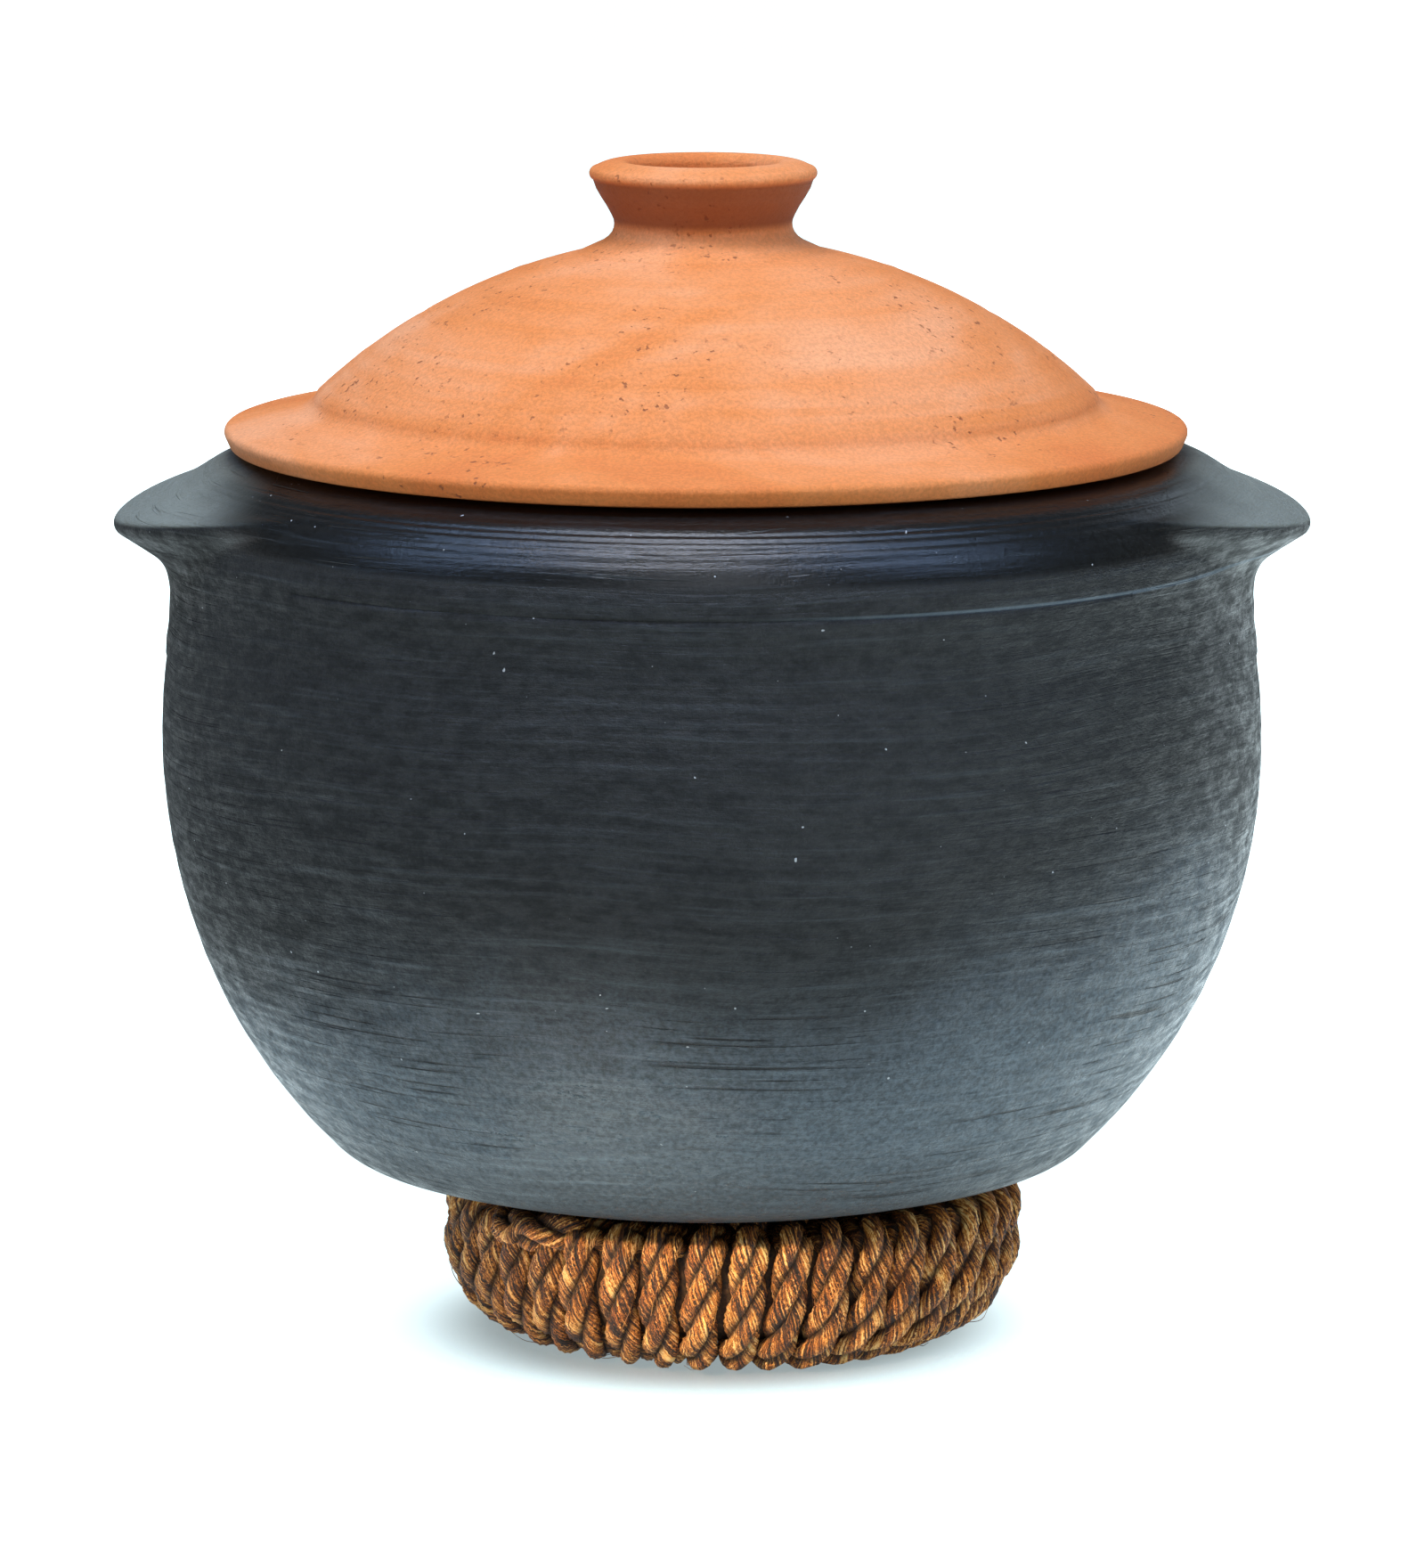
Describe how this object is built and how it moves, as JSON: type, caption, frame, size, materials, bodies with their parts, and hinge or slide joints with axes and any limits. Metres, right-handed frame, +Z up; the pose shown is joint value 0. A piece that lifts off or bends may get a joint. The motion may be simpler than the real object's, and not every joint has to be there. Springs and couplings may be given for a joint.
{
  "type": "lidded clay cooking pot",
  "caption": "Round-bellied black smoked-clay cooking pot with two ledge lugs, a domed terracotta lid with a hollow flared knob, and a rope-wound ring to stand on.",
  "frame": {"origin": "on the floor, under the pot's centre line", "axes": "+Z up, the two lugs point along -X and +X, -Y is the front"},
  "size_m": [0.2818, 0.26, 0.28],
  "materials": {
    "black_clay": "smoke-blackened earthenware, burnished to a soft sheen in horizontal strokes",
    "terracotta": "unglazed orange-red terracotta, matt and finely gritty",
    "straw_core": "bundled dry palm straw, matt",
    "fibre_rope": "three-strand brown palm-fibre rope, matt with stray fibres"
  },
  "bodies": {
    "trivet": {"ring_core": "straw_core", "rope_winding": "fibre_rope"},
    "pot": {"pot_body": "black_clay", "pot_rim": "black_clay", "lug_left": "black_clay", "lug_right": "black_clay"},
    "lid": {"lid_dome": "terracotta", "lid_knob": "terracotta"}
  },
  "joints": [
    {"name": "pot_lift", "type": "slide", "parent": "trivet", "child": "pot", "axis": [0, 0, 1], "range_m": [0, 0.12]},
    {"name": "lid_lift", "type": "slide", "parent": "pot", "child": "lid", "axis": [0, 0, 1], "range_m": [0, 0.1]}
  ]
}
